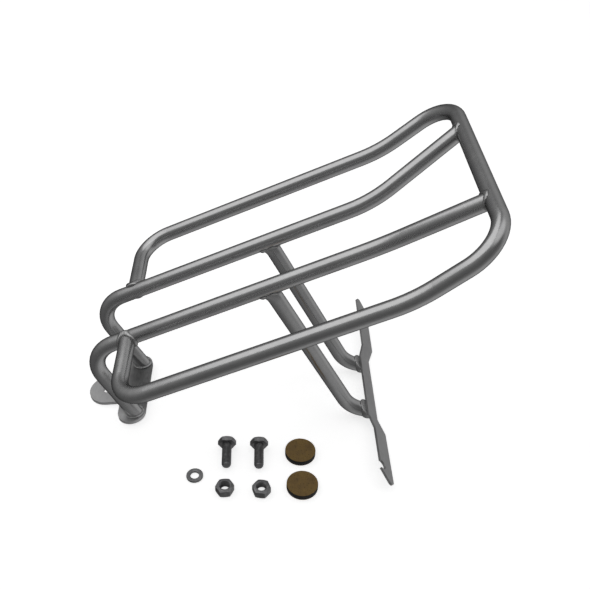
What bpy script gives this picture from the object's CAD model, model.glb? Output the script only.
import math

import bmesh
import bpy
import numpy as np
from mathutils import Matrix, Vector


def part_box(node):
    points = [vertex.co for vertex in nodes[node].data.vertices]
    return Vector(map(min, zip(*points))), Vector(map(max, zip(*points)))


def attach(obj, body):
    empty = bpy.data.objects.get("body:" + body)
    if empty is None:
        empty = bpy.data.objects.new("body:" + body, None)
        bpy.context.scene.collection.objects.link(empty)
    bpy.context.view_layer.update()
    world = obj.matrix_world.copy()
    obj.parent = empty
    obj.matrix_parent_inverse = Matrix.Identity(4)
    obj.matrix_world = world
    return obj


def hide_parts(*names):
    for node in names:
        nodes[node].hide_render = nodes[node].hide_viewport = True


# Studio picture of a rear luggage rack standing on its two brackets, with its loose mounting hardware
# laid out in front. The tubes, legs and brackets are the CAD parts with metal finishes. The weld beads,
# bolts, nuts, washer and pads are finished meshes that stand for their plain CAD solids.

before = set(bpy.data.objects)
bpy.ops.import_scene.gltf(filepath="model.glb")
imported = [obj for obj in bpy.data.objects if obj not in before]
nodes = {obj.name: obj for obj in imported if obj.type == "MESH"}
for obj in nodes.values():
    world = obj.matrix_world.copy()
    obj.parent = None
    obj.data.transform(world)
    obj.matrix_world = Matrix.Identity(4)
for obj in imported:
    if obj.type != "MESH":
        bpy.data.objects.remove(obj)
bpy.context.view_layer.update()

MM = 0.001
TURN = 2 * math.pi

# The steps round a threaded piece; a washer or a pad has twice as many.
SEGMENTS = 48
# An edge that turns by more than this is shaded as sharp.
SHARP_EDGE = math.radians(30)

# Hexagons: the width across the flats, the chamfer of the corners, and how far the flat middle of a face
# reaches, as a share of half that width.
HEX_WIDTH = 13.0 * MM
HEX_CHAMFER = math.radians(30)
CHAMFER_START = 0.96
HEAD_FACE = 0.94
NUT_FACE = 0.93

# Threads, and where they start and stop on a bolt and in a nut.
THREAD_PITCH = 1.25 * MM
THREAD_DEPTH = 0.55 * MM
THREAD_RADIUS = 3.95 * MM
THREAD_STEPS = 8
PLAIN_SHANK = 1.2 * MM
THREAD_START = 1.8 * MM
TIP_LENGTH = 0.7 * MM
TIP_TAPER = 0.86
COLLAR = 0.4 * MM
NUT_LAND = 0.6 * MM
NUT_MOUTH = THREAD_RADIUS + 0.35 * MM

# Rounded edges of the washer and the pads.
EDGE_ROUNDING = 0.3 * MM
PAD_ROUNDING = 0.45 * MM


# ---------------------------------------------------------------- materials

# What a metal mirrors at a glancing angle, as a share of the light: this keeps the tubes' outlines dark.
DARK_RIM = (0.3, 0.3, 0.3, 1)


# The front bracket is dulled by welding: from its bright tab inward along X, and from its right end inward
# along Y.
HEAT_FROM_TAB = (-131 * MM, -119 * MM)
HEAT_FROM_END = (-32 * MM, -24 * MM)


class Finish:
    """A Principled material with noise, mixing and bump nodes added one line at a time."""

    def __init__(self, name, metallic, roughness):
        self.material = bpy.data.materials.new(name)
        self.material.use_nodes = True
        self.tree = self.material.node_tree
        self.shader = self.tree.nodes["Principled BSDF"]
        self.shader.inputs["Metallic"].default_value = metallic
        self.shader.inputs["Roughness"].default_value = roughness
        self.place = self.tree.nodes.new("ShaderNodeTexCoord").outputs["Object"]
        self.height = None

    def node(self, kind, inputs=None, **settings):
        """One node, with its settings and its inputs, which are values or other nodes' outputs."""
        made = self.tree.nodes.new(kind)
        for key, value in settings.items():
            setattr(made, key, value)
        for key, value in (inputs or {}).items():
            if isinstance(value, bpy.types.NodeSocket):
                self.tree.links.new(value, made.inputs[key])
            else:
                made.inputs[key].default_value = value
        return made

    def noise(self, per_metre, detail=3.0, stretch=(1, 1, 1), roughness=0.5):
        """Cloudy noise with the given number of features to the metre."""
        placed = self.node("ShaderNodeMapping", {"Vector": self.place, "Scale": stretch})
        made = self.node("ShaderNodeTexNoise", {
            "Vector": placed.outputs["Vector"], "Scale": per_metre, "Detail": detail,
            "Roughness": roughness})
        return made.outputs["Fac"]

    def spread(self, value, low, high, start=0.3, end=0.7):
        """A 0 to 1 value stretched between two numbers."""
        made = self.node("ShaderNodeMapRange", {
            "Value": value, "From Min": start, "From Max": end, "To Min": low, "To Max": high})
        return made.outputs["Result"]

    def blend(self, amount, first, second):
        """A colour between two, each a plain colour or another node's output, by a 0 to 1 output."""
        made = self.node("ShaderNodeMix", data_type="RGBA")
        self.tree.links.new(amount, made.inputs[0])
        for socket, value in ((made.inputs[6], first), (made.inputs[7], second)):
            if isinstance(value, bpy.types.NodeSocket):
                self.tree.links.new(value, socket)
            else:
                socket.default_value = (*value, 1)
        return made.outputs[2]

    def colour(self, output):
        """Use an output as the base colour."""
        self.tree.links.new(output, self.shader.inputs["Base Color"])

    def roughness(self, output):
        """Use an output as the roughness."""
        self.tree.links.new(output, self.shader.inputs["Roughness"])

    def bump(self, value, depth):
        """Raise the surface by a 0 to 1 value times a depth, on top of any earlier bump."""
        inputs = {"Height": value, "Strength": 1.0, "Distance": depth}
        if self.height is not None:
            inputs["Normal"] = self.height
        made = self.node("ShaderNodeBump", inputs)
        self.height = made.outputs["Normal"]
        self.tree.links.new(self.height, self.shader.inputs["Normal"])

    def soften_edges(self, radius):
        """Shade sharp edges as if they were slightly rounded, before any bump is added."""
        made = self.node("ShaderNodeBevel", {"Radius": radius}, samples=6)
        self.height = made.outputs["Normal"]
        self.tree.links.new(self.height, self.shader.inputs["Normal"])


def chrome_finish():
    """Satin chrome over bent tube, with soft smudges and a faint unevenness from bending."""
    finish = Finish("chrome_tube", 1.0, 0.2)
    smudge = finish.noise(45, 4, roughness=0.6)
    haze = finish.noise(260, 3, stretch=(1, 2.5, 2.5))
    tint = finish.blend(finish.spread(smudge, 0, 1), (0.62, 0.62, 0.625), (0.7, 0.7, 0.7))
    finish.colour(finish.blend(finish.spread(haze, 0, 0.3), tint, (0.52, 0.52, 0.525)))
    finish.roughness(finish.spread(smudge, 0.19, 0.26))
    finish.shader.inputs["Specular Tint"].default_value = DARK_RIM
    finish.bump(finish.noise(90, 2), 0.03 * MM)
    return finish.material


def strip_finish(name, metallic, dark, light, heated=False):
    """Plated steel strip: brushed along its length, with duller patches and softened edges."""
    finish = Finish(name, metallic, 0.36)
    finish.soften_edges(0.45 * MM)
    patch = finish.noise(60, 4)
    grain = finish.noise(240, 4, stretch=(4, 0.8, 4), roughness=0.6)
    tone = finish.blend(finish.spread(patch, 0, 1), dark, light)
    if heated:
        burnt = finish.blend(finish.spread(patch, 0, 1), (0.1, 0.1, 0.1), (0.3, 0.3, 0.3))
        place = finish.node("ShaderNodeSeparateXYZ", {"Vector": finish.place}).outputs
        past_tab = finish.blend(finish.spread(place["X"], 0, 1, *HEAT_FROM_TAB), tone, burnt)
        tone = finish.blend(finish.spread(place["Y"], 0, 1, *HEAT_FROM_END), tone, past_tab)
    finish.colour(finish.blend(finish.spread(grain, 0, 0.35), tone, [0.75 * part for part in dark]))
    finish.roughness(finish.spread(patch, 0.3, 0.42))
    finish.bump(grain, 0.012 * MM)
    return finish.material


def weld_finish():
    """Chromed weld metal, a little duller between its ripples."""
    finish = Finish("weld_metal", 1.0, 0.28)
    patch = finish.noise(300, 3)
    finish.colour(finish.blend(finish.spread(patch, 0, 1), (0.5, 0.5, 0.5), (0.66, 0.66, 0.66)))
    finish.roughness(finish.spread(patch, 0.24, 0.34))
    finish.shader.inputs["Specular Tint"].default_value = DARK_RIM
    finish.bump(finish.noise(900, 2), 0.015 * MM)
    return finish.material


def hardware_finish():
    """Dark plated fasteners: fine grain with worn, lighter spots."""
    finish = Finish("hardware_steel", 1.0, 0.42)
    worn = finish.spread(finish.noise(300, 4), 0, 1, 0.5, 0.75)
    finish.colour(finish.blend(worn, (0.27, 0.27, 0.275), (0.42, 0.42, 0.425)))
    finish.roughness(finish.spread(finish.noise(700, 3), 0.34, 0.5))
    finish.bump(finish.noise(1600, 3), 0.02 * MM)
    return finish.material


def pad_face_finish():
    """Brown pressed face of a pad: mottled fibres with darker pits."""
    finish = Finish("pad_face", 0.0, 0.85)
    mottle = finish.spread(finish.noise(160, 5, roughness=0.6), 0, 1)
    base = finish.blend(mottle, (0.215, 0.13, 0.043), (0.32, 0.205, 0.07))
    pits = finish.spread(finish.noise(1100, 3), 0, 0.6, 0.55, 0.7)
    finish.colour(finish.blend(pits, base, (0.04, 0.027, 0.015)))
    finish.roughness(finish.spread(mottle, 0.75, 0.95))
    finish.bump(finish.noise(1100, 3), 0.08 * MM)
    return finish.material


def pad_edge_finish():
    """Black rubber rim of a pad."""
    finish = Finish("pad_edge", 0.0, 0.7)
    finish.colour(finish.blend(finish.spread(finish.noise(500, 3), 0, 1), (0.006, 0.006, 0.006),
                               (0.016, 0.014, 0.012)))
    finish.bump(finish.noise(900, 3), 0.04 * MM)
    return finish.material


# ---------------------------------------------------------------- meshes

def make_piece(name, bm, materials):
    """An object from a bmesh, smooth except at its sharp edges."""
    bmesh.ops.recalc_face_normals(bm, faces=bm.faces)
    for face in bm.faces:
        face.smooth = True
    for edge in bm.edges:
        edge.smooth = len(edge.link_faces) == 2 and edge.calc_face_angle() < SHARP_EDGE
    mesh = bpy.data.meshes.new(name)
    bm.to_mesh(mesh)
    bm.free()
    for material in materials:
        mesh.materials.append(material)
    made = bpy.data.objects.new(name, mesh)
    bpy.context.scene.collection.objects.link(made)
    return made


def join_rings(bm, rings, closed=False):
    """Faces between each ring of vertices and the next; a ring of one point gets a fan."""
    pairs = list(zip(rings, rings[1:] + rings[:1])) if closed else list(zip(rings, rings[1:]))
    for lower, upper in pairs:
        count = max(len(lower), len(upper))
        for k in range(count):
            after = (k + 1) % count
            corners = []
            for ring, step in ((lower, k), (lower, after), (upper, after), (upper, k)):
                vertex = ring[step] if len(ring) > 1 else ring[0]
                if vertex not in corners:
                    corners.append(vertex)
            bm.faces.new(corners)


def ring_of(bm, segments, radius_at, height_at):
    """One ring of vertices about Z, its radius and height given for each angle."""
    made = []
    for k in range(segments):
        angle = TURN * k / segments
        radius = radius_at(angle)
        made.append(bm.verts.new((radius * math.cos(angle), radius * math.sin(angle),
                                  height_at(angle, radius))))
    return made


def hex_radius(angle):
    """How far a hexagon's side is from its centre at an angle, with a corner at angle 0."""
    within = (angle % (TURN / 6)) - TURN / 12
    return HEX_WIDTH / 2 / math.cos(within)


def chamfered(height, sign):
    """The height of a hexagon's face where its corners are chamfered, for each radius."""
    flat_radius = CHAMFER_START * HEX_WIDTH / 2

    def height_at(angle, radius):
        return height - sign * max(0.0, radius - flat_radius) * math.tan(HEX_CHAMFER)
    return height_at


def level(height):
    """The same height all round."""
    return lambda angle, radius: height


def thread_rings(bm, start, length, run_out):
    """Rings along a V thread, which fades to a plain core within the run-out at each end, if it has one."""
    steps = int(length / THREAD_PITCH * THREAD_STEPS)
    rings = []
    for n in range(steps + 1):
        z = start + length * n / steps
        ends = min(z - start, start + length - z)
        fade = min(1.0, ends / run_out) if run_out else 1.0

        def radius_at(angle, z=z, fade=fade):
            phase = (z / THREAD_PITCH - angle / TURN) % 1.0
            tooth = abs(2 * phase - 1)
            return THREAD_RADIUS - THREAD_DEPTH * (1 - fade * tooth)
        rings.append(ring_of(bm, SEGMENTS, radius_at, level(z)))
    return rings


def bolt_mesh(head_height, shank_length):
    """Hex bolt about Z: the underside of its head at 0, its threaded tip at the shank's length."""
    bm = bmesh.new()
    flat = HEAD_FACE * HEX_WIDTH / 2
    tip_radius = TIP_TAPER * (THREAD_RADIUS - THREAD_DEPTH)
    thread_length = shank_length - TIP_LENGTH - THREAD_START
    rings = [
        [bm.verts.new((0, 0, -head_height))],
        ring_of(bm, SEGMENTS, lambda a: flat * 0.5, level(-head_height)),
        ring_of(bm, SEGMENTS, lambda a: flat, level(-head_height)),
        ring_of(bm, SEGMENTS, hex_radius, chamfered(-head_height, -1)),
        ring_of(bm, SEGMENTS, hex_radius, level(-COLLAR)),
        ring_of(bm, SEGMENTS, lambda a: flat, level(-COLLAR)),
        ring_of(bm, SEGMENTS, lambda a: flat, level(0)),
        ring_of(bm, SEGMENTS, lambda a: THREAD_RADIUS, level(0)),
        ring_of(bm, SEGMENTS, lambda a: THREAD_RADIUS, level(PLAIN_SHANK)),
    ]
    rings += thread_rings(bm, THREAD_START, thread_length, THREAD_PITCH)
    rings += [
        ring_of(bm, SEGMENTS, lambda a: tip_radius, level(shank_length)),
        [bm.verts.new((0, 0, shank_length))],
    ]
    join_rings(bm, rings)
    return bm


def nut_mesh(height):
    """Hex nut about Z, standing on 0, chamfered above and below, with a threaded bore."""
    bm = bmesh.new()
    flat = NUT_FACE * HEX_WIDTH / 2
    bore = thread_rings(bm, NUT_LAND, height - 2 * NUT_LAND, 0)
    rings = [
        ring_of(bm, SEGMENTS, lambda a: NUT_MOUTH, level(0)),
        ring_of(bm, SEGMENTS, lambda a: flat, level(0)),
        ring_of(bm, SEGMENTS, hex_radius, chamfered(0, -1)),
        ring_of(bm, SEGMENTS, hex_radius, chamfered(height, 1)),
        ring_of(bm, SEGMENTS, lambda a: flat, level(height)),
        ring_of(bm, SEGMENTS, lambda a: NUT_MOUTH, level(height)),
    ]
    join_rings(bm, rings + bore[::-1], closed=True)
    return bm


def turned_mesh(profile, closed):
    """A shape turned about Z from (radius, height) points; a zero radius closes it at the axis."""
    bm = bmesh.new()
    rings = []
    for radius, height in profile:
        if radius == 0:
            rings.append([bm.verts.new((0, 0, height))])
        else:
            rings.append(ring_of(bm, 2 * SEGMENTS, lambda a, r=radius: r, level(height)))
    join_rings(bm, rings, closed=closed)
    return bm


def rounded_corner(radius, height, size, from_angle):
    """Points of a quarter-round corner, centred inside the given corner."""
    steps = 4
    points = []
    sign_r = 1 if math.cos(from_angle + TURN / 8) > 0 else -1
    sign_z = 1 if math.sin(from_angle + TURN / 8) > 0 else -1
    for n in range(steps + 1):
        angle = from_angle + TURN / 4 * n / steps
        points.append((radius - sign_r * size + size * math.cos(angle),
                       height - sign_z * size + size * math.sin(angle)))
    return points


def washer_mesh(radius, hole_radius, thickness):
    """Plain washer with eased edges, standing on 0."""
    corners = ((radius, 0, -TURN / 4), (radius, thickness, 0),
               (hole_radius, thickness, TURN / 4), (hole_radius, 0, TURN / 2))
    profile = []
    for corner_radius, height, from_angle in corners:
        profile += rounded_corner(corner_radius, height, EDGE_ROUNDING, from_angle)
    return turned_mesh(profile, closed=True)


def pad_mesh(radius, thickness):
    """Round pad with eased rims, standing on 0. Rings inside the rims keep its flat faces evenly shaded."""
    profile = [(0, 0), (radius * 0.6, 0)]
    profile += rounded_corner(radius, 0, PAD_ROUNDING, -TURN / 4)
    profile += rounded_corner(radius, thickness, PAD_ROUNDING, 0)
    profile += [(radius * 0.9, thickness), (radius * 0.55, thickness), (0, thickness)]
    return turned_mesh(profile, closed=False)


def centre_of(node):
    """The middle of a CAD node's box."""
    low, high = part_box(node)
    return (low + high) / 2


def standing_on_floor(node):
    """A placement at the middle of the underside of a CAD node's box."""
    centre = centre_of(node)
    low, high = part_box(node)
    return Matrix.Translation((centre.x, centre.y, low.z))


# ---------------------------------------------------------------- CAD nodes

def finish_cad_nodes(names, material):
    """Give CAD nodes their finish."""
    for name in names:
        nodes[name].data.materials.clear()
        nodes[name].data.materials.append(material)


# ---------------------------------------------------------------- weld beads

BEAD_VOXEL = 0.42 * MM
# The ripples along a bead, and the share of a ripple's height that lies under the plain surface.
RIPPLE_LENGTH = 1.35 * MM
RIPPLE_HEIGHT = 0.14 * MM
RIPPLE_SINK = 0.35
# How much fuller a bead is than its CAD solid; the two at the hoop's front ends are the fullest.
SWELL = 0.15 * MM
FRONT_SWELL = 0.9 * MM


def bead_frame(mesh):
    """The middle of a ring-shaped weld and the two directions that it spreads in most."""
    points = np.array([v.co[:] for v in mesh.vertices])
    middle = points.mean(axis=0)
    directions = np.linalg.eigh(np.cov((points - middle).T))[1]
    return Vector(middle), Vector(directions[:, 2]), Vector(directions[:, 1])


def weld_bead(node, material, swell):
    """A rippled bead in place of a plain CAD weld collar, swollen a little to lap over what it joins."""
    source = nodes[node]
    bead = bpy.data.objects.new(node + "_bead", source.data.copy())
    bpy.context.scene.collection.objects.link(bead)
    remesh = bead.modifiers.new("remesh", "REMESH")
    remesh.mode = "VOXEL"
    remesh.voxel_size = BEAD_VOXEL
    smooth = bead.modifiers.new("smooth", "SMOOTH")
    smooth.factor = 0.5
    smooth.iterations = 4
    shaped = bpy.data.meshes.new_from_object(bead.evaluated_get(bpy.context.evaluated_depsgraph_get()))
    bead.modifiers.clear()
    middle, first, second = bead_frame(shaped)
    bm = bmesh.new()
    bm.from_mesh(shaped)
    bm.normal_update()
    for vertex in bm.verts:
        offset = vertex.co - middle
        across = Vector((offset.dot(first), offset.dot(second)))
        around = math.atan2(across.y, across.x) * across.length / RIPPLE_LENGTH
        lens = 0.5 + 0.5 * math.cos(TURN * around)
        vertex.co += vertex.normal * (swell + RIPPLE_HEIGHT * (lens - RIPPLE_SINK))
    for face in bm.faces:
        face.smooth = True
    bm.to_mesh(shaped)
    bm.free()
    bead.data = shaped
    shaped.materials.clear()
    shaped.materials.append(material)
    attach(bead, "rack")
    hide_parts(node)


# ---------------------------------------------------------------- loose hardware

def stand_for(piece, node, placement):
    """Put a piece where its CAD node lies and hide the node."""
    piece.matrix_world = placement
    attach(piece, node)
    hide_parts(node)


def middle_of(points):
    """The mean of some points."""
    return sum(points, Vector()) / len(points)


# How deep into a lying bolt's box its head's outer face and its tip reach, and more than a face's slant.
HEAD_SLICE = 2.2 * MM
TIP_SLICE = 1.2 * MM
PAST_FACE = 1.0 * MM


def bolt_frame(node):
    """Where a bolt lies, as a placement with Z along its shank, and its head and shank lengths."""
    points = [v.co for v in nodes[node].data.vertices]
    low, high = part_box(node)
    top = [p for p in points if p.y > high.y - HEAD_SLICE]
    tip = [p for p in points if p.y < low.y + TIP_SLICE]
    start = middle_of(top)
    axis = middle_of(tip) - start
    length = axis.length
    axis.normalize()
    head = min(along for along in ((p - start).dot(axis) for p in points) if along > PAST_FACE)
    corner = (top[0] - start) - axis * (top[0] - start).dot(axis)
    corner.normalize()
    rotation = Matrix((corner, axis.cross(corner), axis)).transposed().to_4x4()
    return Matrix.Translation(start + axis * head) @ rotation, head, length - head


def add_pads():
    """The two round pads, brown on their faces and black round their edges."""
    face = pad_face_finish()
    edge = pad_edge_finish()
    for name in ("pad_1", "pad_2"):
        low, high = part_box(name)
        piece = make_piece(name + "_disc", pad_mesh((high.x - low.x) / 2, high.z - low.z), [face, edge])
        for polygon in piece.data.polygons:
            polygon.material_index = 0 if abs(polygon.normal.z) > 0.8 else 1
        stand_for(piece, name, standing_on_floor(name))


def add_fasteners():
    """The threaded bolts and nuts and the washer."""
    finish = hardware_finish()
    for name in ("bolt_1", "bolt_2"):
        placement, head, shank = bolt_frame(name)
        piece = make_piece(name + "_threaded", bolt_mesh(head, shank), [finish])
        stand_for(piece, name, placement)
    for name in ("nut_1", "nut_2"):
        low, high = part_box(name)
        piece = make_piece(name + "_threaded", nut_mesh(high.z - low.z), [finish])
        centre = centre_of(name)
        corner = max((v.co for v in nodes[name].data.vertices), key=lambda p: (p.xy - centre.xy).length)
        turn = math.atan2(corner.y - centre.y, corner.x - centre.x)
        placement = standing_on_floor(name) @ Matrix.Rotation(turn, 4, "Z")
        stand_for(piece, name, placement)
    low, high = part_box("washer")
    centre = centre_of("washer")
    hole_radius = min((v.co.xy - centre.xy).length for v in nodes["washer"].data.vertices)
    washer = washer_mesh((high.x - low.x) / 2, hole_radius, high.z - low.z)
    piece = make_piece("washer_eased", washer, [finish])
    stand_for(piece, "washer", standing_on_floor("washer"))


def build_scene():
    """Every piece of the object."""
    chrome = chrome_finish()
    finish_cad_nodes([n for n in nodes if n.startswith(("outer_hoop", "inner_rail", "support_leg"))], chrome)
    finish_cad_nodes(["front_bracket"],
                     strip_finish("front_bracket", 0.8, (0.58, 0.58, 0.585), (0.68, 0.68, 0.68), heated=True))
    finish_cad_nodes(["rear_bracket"],
                     strip_finish("rear_bracket", 0.9, (0.42, 0.42, 0.425), (0.54, 0.54, 0.54)))
    weld = weld_finish()
    for name in sorted(nodes):
        if name.startswith("weld_"):
            weld_bead(name, weld, FRONT_SWELL if name.startswith("weld_hoop_front") else SWELL)
    add_fasteners()
    add_pads()


build_scene()


# ---------------------------------------------------------------- studio

CAMERA_AIM = Vector((0.02214, 0, 0.11147))
CAMERA_DISTANCE = 0.64231
CAMERA_ELEVATION = math.radians(38.760)
CAMERA_TURN = math.radians(3.398)
CAMERA_ROLL = math.radians(2.346)
CAMERA_LENS = 48.62


def add_camera():
    """The camera, in front of the rack's right side and above it."""
    camera = bpy.data.cameras.new("camera")
    camera.sensor_width = 36
    camera.lens = CAMERA_LENS
    camera.clip_start = 0.01
    made = bpy.data.objects.new("camera", camera)
    bpy.context.scene.collection.objects.link(made)
    turn = Matrix.Rotation(-CAMERA_TURN, 4, "Z")
    tip = Matrix.Rotation(math.pi / 2 - CAMERA_ELEVATION, 4, "X")
    roll = Matrix.Rotation(CAMERA_ROLL, 4, "Z")
    rotation = turn @ tip @ roll
    back = rotation.to_3x3() @ Vector((0, 0, CAMERA_DISTANCE))
    made.matrix_world = Matrix.Translation(CAMERA_AIM + back) @ rotation
    bpy.context.scene.camera = made
    bpy.context.scene.view_settings.view_transform = "Standard"


FLOOR_HALF = 6.0
FLOOR_GAP = 0.2 * MM
BACKDROP_RADIUS = 5.5
BACKDROP_FOOT = -0.1
BACKDROP_HEIGHT = 7.0


def add_backdrop():
    """A round pale backdrop, which only closes the view behind the floor and lights nothing."""
    bm = bmesh.new()
    join_rings(bm, [ring_of(bm, 2 * SEGMENTS, lambda a: BACKDROP_RADIUS, level(height))
                    for height in (BACKDROP_FOOT, BACKDROP_HEIGHT)])
    backdrop = make_piece("backdrop", bm, [])
    finish = Finish("backdrop_paper", 0.0, 0.9)
    finish.shader.inputs["Base Color"].default_value = (0, 0, 0, 1)
    finish.shader.inputs["Specular IOR Level"].default_value = 0
    finish.shader.inputs["Emission Color"].default_value = (1, 1, 1, 1)
    finish.shader.inputs["Emission Strength"].default_value = 0.93
    backdrop.data.materials.append(finish.material)
    backdrop.visible_glossy = False
    backdrop.visible_diffuse = False
    backdrop.visible_shadow = False


def add_floor():
    """A plain pale floor that glows faintly, so that shadows stay soft and light."""
    bm = bmesh.new()
    bmesh.ops.create_grid(bm, x_segments=1, y_segments=1, size=FLOOR_HALF)
    floor = make_piece("floor", bm, [])
    finish = Finish("floor_paper", 0.0, 0.9)
    finish.shader.inputs["Base Color"].default_value = (0.9, 0.9, 0.9, 1)
    finish.shader.inputs["Emission Color"].default_value = (1, 1, 1, 1)
    finish.shader.inputs["Emission Strength"].default_value = 0.7
    floor.data.materials.append(finish.material)
    floor.location.z = -FLOOR_GAP
    floor.visible_glossy = False


# The way to the middle of the lit ceiling, to the soft light, to a paler wall behind the rack's tail, and
# to a window high above the tail, which the tubes mirror toward the front.
CEILING = Vector((-0.6, 0.16, 0.79)).normalized()
SOFTBOX = Vector((-0.38, 0.16, 0.91)).normalized()
SOFTBOX_DISTANCE = 1.4
SOFTBOX_LENGTH = 1.3
SOFTBOX_WIDTH = 1.7
SOFTBOX_WATTS = 3.6
PALE_WALL = Vector((0.77, 0.6, 0.2)).normalized()
TAIL_WINDOW = Vector((0.4, 0, 0.92)).normalized()


def add_light():
    """One broad soft light above the rack's tail, so that the platform's bars brighten toward it."""
    light = bpy.data.lights.new("softbox", "AREA")
    light.shape = "RECTANGLE"
    light.size = SOFTBOX_LENGTH
    light.size_y = SOFTBOX_WIDTH
    light.energy = SOFTBOX_WATTS
    made = bpy.data.objects.new("softbox", light)
    along = Vector((0, 1, 0)).cross(SOFTBOX).normalized()
    square = Matrix((along, SOFTBOX.cross(along), SOFTBOX)).transposed().to_4x4()
    made.matrix_world = Matrix.Translation(SOFTBOX * SOFTBOX_DISTANCE) @ square
    bpy.context.scene.collection.objects.link(made)


def brightness_by_angle(tree, direction, pole, stops):
    """How bright the studio is by the angle from a pole: stops of (degrees, brightness), widest first."""
    toward = tree.nodes.new("ShaderNodeVectorMath")
    toward.operation = "DOT_PRODUCT"
    toward.inputs[1].default_value = pole
    tree.links.new(direction, toward.inputs[0])
    spread = tree.nodes.new("ShaderNodeMapRange")
    spread.inputs["From Min"].default_value = -1
    tree.links.new(toward.outputs["Value"], spread.inputs["Value"])
    ramp = tree.nodes.new("ShaderNodeValToRGB")
    ramp.color_ramp.interpolation = "EASE"
    tree.links.new(spread.outputs["Result"], ramp.inputs["Fac"])
    elements = ramp.color_ramp.elements
    for n, (degrees, brightness) in enumerate(stops):
        element = elements[n] if n < len(elements) else elements.new(1.0)
        element.position = (math.cos(math.radians(degrees)) + 1) / 2
        element.color = (brightness, brightness, brightness, 1)
    return ramp.outputs["Color"]


def add_surroundings():
    """A dim studio to mirror: a glowing ceiling, dark walls, one paler wall, a window and a grey floor."""
    world = bpy.data.worlds.new("studio")
    bpy.context.scene.world = world
    world.use_nodes = True
    tree = world.node_tree
    direction = tree.nodes.new("ShaderNodeTexCoord").outputs["Generated"]
    room = brightness_by_angle(tree, direction, CEILING, (
        (180, 0.42), (150, 0.32), (128, 0.16), (105, 0.105), (75, 0.12), (52, 0.17), (38, 0.24), (20, 0.3)))
    wall = brightness_by_angle(tree, direction, PALE_WALL, ((60, 0.0), (20, 0.24)))
    window = brightness_by_angle(tree, direction, TAIL_WINDOW, ((34, 0.0), (12, 0.45)))
    lit = room
    for added in (wall, window):
        total = tree.nodes.new("ShaderNodeVectorMath")
        tree.links.new(lit, total.inputs[0])
        tree.links.new(added, total.inputs[1])
        lit = total.outputs["Vector"]
    tree.links.new(lit, tree.nodes["Background"].inputs["Color"])


add_camera()
add_floor()
add_backdrop()
add_light()
add_surroundings()
